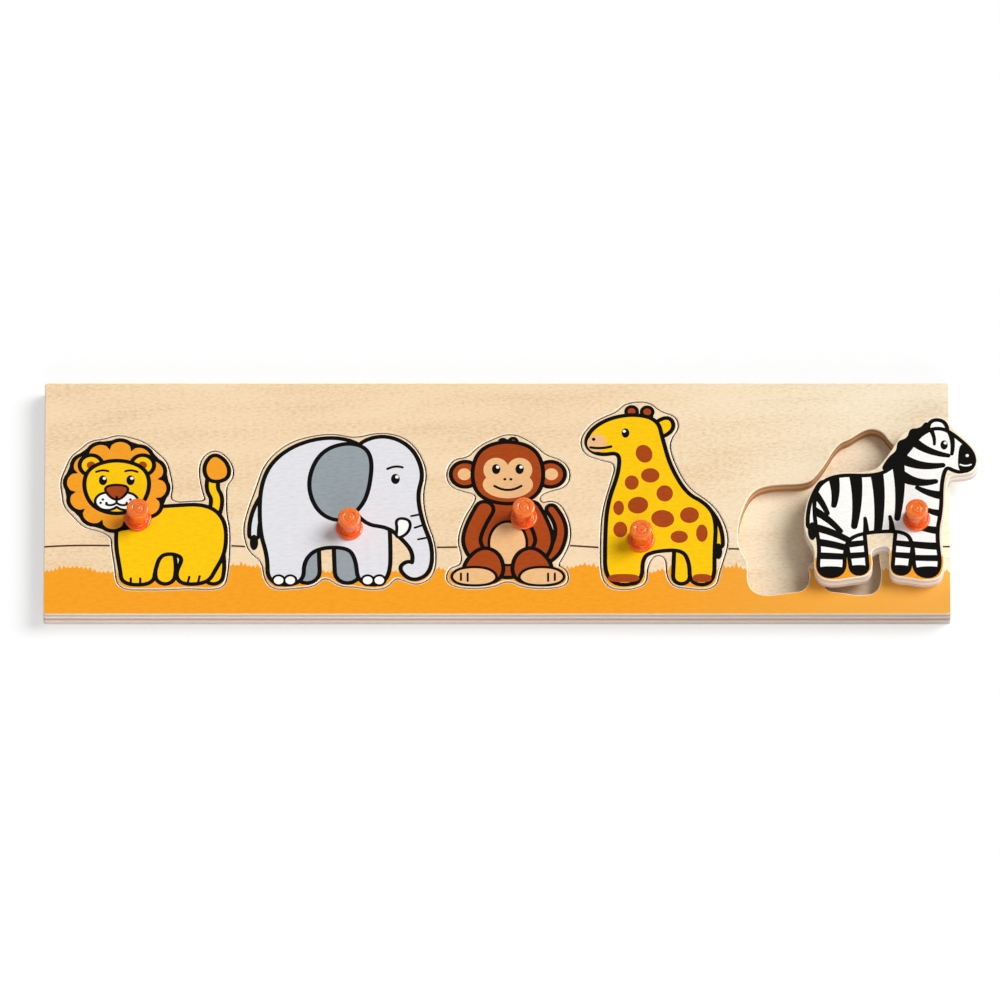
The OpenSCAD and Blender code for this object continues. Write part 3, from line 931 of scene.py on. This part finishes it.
# %% The lion
LINE = 2.5
show("lion", 76, (40, 45), [
    ("yellow", LINE, [limb([(84, 48), (87, 58), (82, 66), (84, 74)], 4)]),
    ("orange", LINE, [blob([(81, 72), (79, 80), (84, 88), (91, 82), (92, 74), (87, 71)])]),
    ("yellow", LINE, [limb([(80, 32), (85, 20), (84, 8)], 12, 9),
                      limb([(52, 30), (57, 18), (56, 8)], 11, 9)]),
    ("yellow", LINE, [blob([
        (30, 50), (60, 53), (80, 54), (90, 44), (90, 24), (84, 12), (80, 4), (66, 3), (63, 9),
        (68, 20), (60, 24), (52, 22), (49, 12), (48, 3), (32, 3), (31, 12), (28, 30)])]),
    ("orange", LINE, [scallop(27.5, 67.5, 24, 29, 12, 10)]),
    ("yellow", LINE, [dot(12.5, 81, 5.4), dot(42.5, 81, 5.4)]),
    ("brown", 0, [dot(12.5, 81, 2.5), dot(42.5, 81, 2.5)]),
    ("yellow", LINE, [blob([(12, 79), (27.5, 84), (43, 79), (46, 67), (41, 54), (27.5, 49),
                            (14, 54), (9, 67)])]),
    ("white", 1.6, [oval(22, 57, 6.2, 5), oval(33, 57, 6.2, 5)]),
    ("white", 0, [oval(27.5, 58, 7, 4)]),
    ("brown", 1.6, [blob([(20.5, 66), (27.5, 67.5), (34.5, 66), (31, 60.5), (27.5, 58.5),
                          (24, 60.5)])]),
    ("black", 0, [limb([(27.5, 60), (27.5, 56.2)], 1.5),
                  limb([(27.5, 56), (24.5, 53.5), (21.5, 55)], 1.5),
                  limb([(27.5, 56), (30.5, 53.5), (33.5, 55)], 1.5)]),
    ("black", 0, [oval(19.5, 71, 2.4, 3.3), oval(35.5, 71, 2.4, 3.3)]),
    ("white", 0, [dot(20.3, 72.3, 1), dot(36.3, 72.3, 1)]),
    ("black", 0, [limb([(15.5, 76.5), (19, 78.3), (22.5, 77)], 1.4),
                  limb([(32.5, 77), (36, 78.3), (39.5, 76.5)], 1.4)]),
    ("black", 0, [dot(19.5, 58.2, 0.8), dot(18.2, 56, 0.8), dot(21.6, 55.9, 0.8),
                  dot(35.5, 58.2, 0.8), dot(36.8, 56, 0.8), dot(33.4, 55.9, 0.8)]),
    ("black", 0, [limb([(36, 2), (36, 6)], 1.4), limb([(41.5, 2), (41.5, 6)], 1.4),
                  limb([(69, 2.6), (70, 7)], 1.4), limb([(75, 2.8), (76, 7.4)], 1.4)]),
])

# %% The elephant
show("elephant", 78, (58, 38), [
    ("pale_grey", LINE, [limb([(12, 60), (3.6, 48), (4, 34)], 3.6, 3)]),
    ("black", 0, [oval(4, 29, 2.4, 5)]),
    ("mid_grey", LINE, [limb([(33, 24), (34, 10)], 13, 12), limb([(57, 24), (57, 10)], 13, 12)]),
    ("pale_grey", LINE, [blob([
        (24, 90), (48, 97), (68, 90), (78, 62), (80, 34), (80, 3), (64, 3), (63, 18), (58, 27),
        (40, 27), (31, 18), (31, 3), (13, 3), (13, 20), (8, 38), (9, 72)])]),
    ("pale_grey", LINE, [blob([
        (60, 90), (76, 98), (92, 91), (99, 74), (95, 60), (98, 42), (104, 26), (103, 10),
        (94, 5), (87, 12), (91, 16), (95, 14), (95, 24), (87, 34), (80, 40), (66, 42),
        (56, 62)])]),
    ("mid_grey", LINE, [blob([(70, 87), (58, 93), (42, 87), (35, 68), (40, 50), (52, 43),
                              (62, 50), (68, 62)])]),
    ("black", 0, [oval(84, 70, 2.5, 3.3)]),
    ("white", 0, [dot(84.9, 71.3, 1)]),
    ("black", 0, [limb([(79.5, 76.5), (84, 79), (88, 77.5)], 1.5)]),
    ("white", 1.8, [blob([(85, 44), (92, 43), (91, 36), (85, 32), (86, 38)])]),
    ("black", 0, [limb([(93, 46), (97.5, 47)], 1.3), limb([(95, 38.5), (99, 40)], 1.3),
                  limb([(97, 31), (101.5, 32)], 1.3)]),
    ("white", 1.4, [oval(18, 4.6, 2.7, 2.5), oval(24.6, 4.6, 2.7, 2.5),
                    oval(68.4, 4.6, 2.7, 2.5), oval(75, 4.6, 2.7, 2.5)]),
])

# %% The monkey
show("monkey", 74, (45.5, 47), [
    ("brown", LINE, [limb([(48, 14), (62, 20), (68, 34), (67, 46), (62, 53)], 4.6, 3.6)]),
    ("brown", LINE, [dot(10.5, 77, 7.4), dot(61.5, 77, 7.4)]),
    ("peach", 0, [dot(10, 77, 4), dot(62, 77, 4)]),
    ("brown", LINE, [blob([(24, 60), (36, 62), (48, 60), (54, 40), (54, 20), (44, 8), (28, 8),
                           (18, 20), (18, 40)])]),
    ("peach", 1.75, [oval(36, 30, 10.5, 14)]),
    ("brown", LINE, [limb([(22, 53), (14, 38), (15, 25), (22, 18)], 8.4, 7.6),
                     limb([(50, 53), (58, 38), (57, 25), (50, 18)], 8.4, 7.6)]),
    ("brown", LINE, [blob([(20, 27), (30, 23), (33, 11), (28, 4), (12, 4), (10, 15)]),
                     blob([(52, 27), (42, 23), (39, 11), (44, 4), (60, 4), (62, 15)])]),
    ("peach", 1.75, [
        blob([(7, 2.5), (23, 2), (30, 6.5), (24, 13), (8, 13), (2, 7.5)]),
        blob([(65, 2.5), (49, 2), (42, 6.5), (48, 13), (64, 13), (70, 7.5)])]),
    ("black", 0, [limb([(8, 5), (8, 9.5)], 1.3), limb([(12, 4.4), (12, 9.5)], 1.3),
                  limb([(60, 4.4), (60, 9.5)], 1.3), limb([(64, 5), (64, 9.5)], 1.3)]),
    ("brown", 2, [blob([(31, 94), (32, 101), (36, 98), (40, 102), (42, 94)])]),
    ("brown", LINE, [blob([(20, 94), (36, 99), (52, 94), (57, 78), (53, 62), (36, 57),
                           (19, 62), (15, 78)])]),
    ("peach", 0, [oval(29, 80, 7.6, 8.2), oval(43, 80, 7.6, 8.2), oval(36, 70, 15, 9.4)]),
    ("black", 0, [oval(29, 80.5, 2.5, 3.4), oval(43, 80.5, 2.5, 3.4)]),
    ("white", 0, [dot(29.9, 81.9, 1), dot(43.9, 81.9, 1)]),
    ("black", 0, [dot(34.2, 73.6, 0.9), dot(37.8, 73.6, 0.9),
                  limb([(28, 69), (36, 63.6), (44, 69)], 1.6)]),
])

# %% The giraffe
LINE = 2.1
show("giraffe", 91, (28.5, 26), [
    ("yellow", LINE, [limb([(58, 44), (66, 36), (66, 24)], 2.8, 2.2)]),
    ("black", 0, [oval(66, 20, 1.9, 4.4)]),
    ("yellow", LINE, [limb([(23, 24), (24, 6)], 6.6, 6), limb([(49, 24), (48, 6)], 6.6, 6)]),
    ("yellow", LINE, [limb([(24, 97), (24.6, 90)], 2.6), limb([(31.4, 97), (30.6, 90)], 2.6)]),
    ("brown", 1.7, [dot(24, 97.4, 1.9), dot(31.6, 97.2, 1.9)]),
    ("yellow", LINE, [blob([(35, 90), (42, 94), (44, 88), (37, 83)])]),
    ("yellow", LINE, [blob([
        (14, 93), (26, 95), (36, 92), (38, 82), (42, 66), (50, 51), (59, 46), (64, 38),
        (63, 20), (63, 2.6), (53, 2.6), (53, 14), (49, 22), (34, 21), (28, 17), (28, 2.6),
        (12, 2.6), (12, 26), (13, 46), (19, 64), (19, 76), (8, 74), (2, 79), (5, 87)])]),
    ("brown", 0, [oval(30, 74, 4, 5, 15), oval(33, 62, 4.5, 4), oval(24, 58, 3.4, 4),
                  oval(40, 52, 4, 4.5), oval(27, 45.5, 5, 4.6, 20), oval(17.6, 44, 2.6, 4),
                  oval(39, 38, 5.6, 4.8, -10), oval(52, 40, 4.6, 4.4, 10),
                  oval(18.4, 32, 3.4, 4.4), oval(47, 28, 4.2, 3.4), oval(58, 30, 2.8, 4.8)]),
    ("peach", 0, [oval(7, 80, 4.6, 5, -15)]),
    ("black", 0, [oval(21, 85.5, 1.9, 2.6), dot(5.5, 82, 0.9),
                  limb([(4, 77.5), (9, 76.5), (14, 78)], 1.4)]),
    ("white", 0, [dot(20.4, 86.5, 0.8)]),
    ("brown", 0, [blob([(12.4, 2.9), (27.6, 2.9), (27.6, 7), (20, 7.6), (12.4, 7)]),
                  blob([(53.4, 2.9), (62.6, 2.9), (62.6, 7), (58, 7.6), (53.4, 7)])]),
])

# %% The zebra
LINE = 2.3
body = blob([
    (64, 90), (74, 94), (84, 86), (91, 78), (91, 70), (84, 67), (76, 72), (73, 60), (73, 44),
    (70, 28), (73, 3), (60, 3), (60, 20), (56, 31), (36, 31), (23, 27), (20, 18), (20, 3),
    (7, 3), (9, 20), (6, 36), (6, 56), (16, 64), (38, 63), (48, 68), (58, 80)])
far_legs = [limb([(27, 28), (29, 8)], 8, 7), limb([(54, 28), (52, 8)], 8, 7)]
show("zebra", 81, (60.5, 37), [
    ("white", LINE, [limb([(10, 58), (3.4, 48), (3.6, 34)], 3.2, 2.6)]),
    ("black", 0, [oval(3.6, 30, 2.4, 5.6)]),
    ("white", LINE, far_legs),
    ("black", 0, [limb([(22, 21.5), (34, 23)], 4, 3.4), limb([(22, 14.5), (35, 15.6)], 4, 3.4),
                  limb([(46, 23), (59, 21.5)], 3.4, 4), limb([(45, 15.6), (59, 14.5)], 3.4, 4),
                  blob([(20, 0), (36, 0), (36, 9.4), (20, 8.6)]),
                  blob([(44, 0), (60, 0), (60, 8.6), (44, 9.4)])], far_legs),
    ("black", 0, [blob([(40, 66), (45, 76), (50, 80), (50, 86), (56, 88), (57, 94), (63, 94),
                        (66, 99), (71, 94), (66, 84), (58, 70)])]),
    ("white", LINE, [blob([(69, 88), (68, 98), (76, 98), (77, 88)])]),
    ("black", 0, [blob([(71, 89), (70.8, 95), (74.2, 95), (74.6, 89)])]),
    ("white", LINE, [body]),
    ("black", 0, [
        limb([(13, 72), (18, 58), (15.5, 46)], 7.6, 3.2),
        limb([(26, 72), (30, 54), (26.5, 33)], 7.8, 3.6),
        limb([(38, 71), (42, 52), (39, 27)], 7.6, 4.2),
        limb([(50, 76), (53, 58), (50, 38)], 7.4, 3.4),
        limb([(2, 57), (8, 51), (12, 41)], 5, 2.6),
        limb([(0, 45), (10, 41), (19, 30)], 5.4, 3),
        limb([(0, 33), (11, 32), (24, 24)], 5.2, 3.6),
        limb([(2, 23.5), (12, 23), (24, 19)], 4.8, 4),
        limb([(2, 15), (12, 14.6), (24, 14)], 4.4, 3.8),
        limb([(47, 26), (47.5, 33), (46, 39)], 4.4, 2),
        limb([(33, 26), (33, 33), (32.4, 38)], 4.2, 2),
        limb([(53, 64), (61, 58.5), (71, 61)], 6.8, 3),
        limb([(53, 75), (62, 69), (75, 71)], 6.6, 3),
        limb([(59, 86), (66, 79), (78, 77)], 5.6, 2.6),
        limb([(78, 52), (69, 52), (61, 57)], 6, 2.6),
        limb([(78, 41), (72, 40.5), (67, 43)], 5.6, 3),
        limb([(78, 30), (68, 30), (58, 34)], 5.4, 3.2),
        limb([(78, 20.6), (68, 20.4), (57, 22)], 4.8, 4),
        limb([(78, 13.4), (68, 13), (57, 13.6)], 4, 3.6),
        limb([(67, 96), (71, 90), (70.5, 84)], 3, 1.6),
        limb([(78, 94), (81.6, 87), (80, 78)], 3.4, 2),
        blob([(4, 0), (24, 0), (24, 8), (4, 8.4)]),
        blob([(57, 0), (76, 0), (76, 8.4), (57, 8)])],
     [body]),
    ("black", 0, [blob([(84.6, 86), (92, 81), (93, 70), (84, 66), (83, 74)])], [body]),
    ("white", 0, [dot(88.4, 77, 0.9), limb([(84.6, 71.4), (87.6, 70), (90.4, 71.4)], 0.9)]),
    ("black", 0, [oval(75.8, 83.6, 2, 2.9)]),
    ("white", 0, [dot(76.5, 84.8, 0.9)]),
])
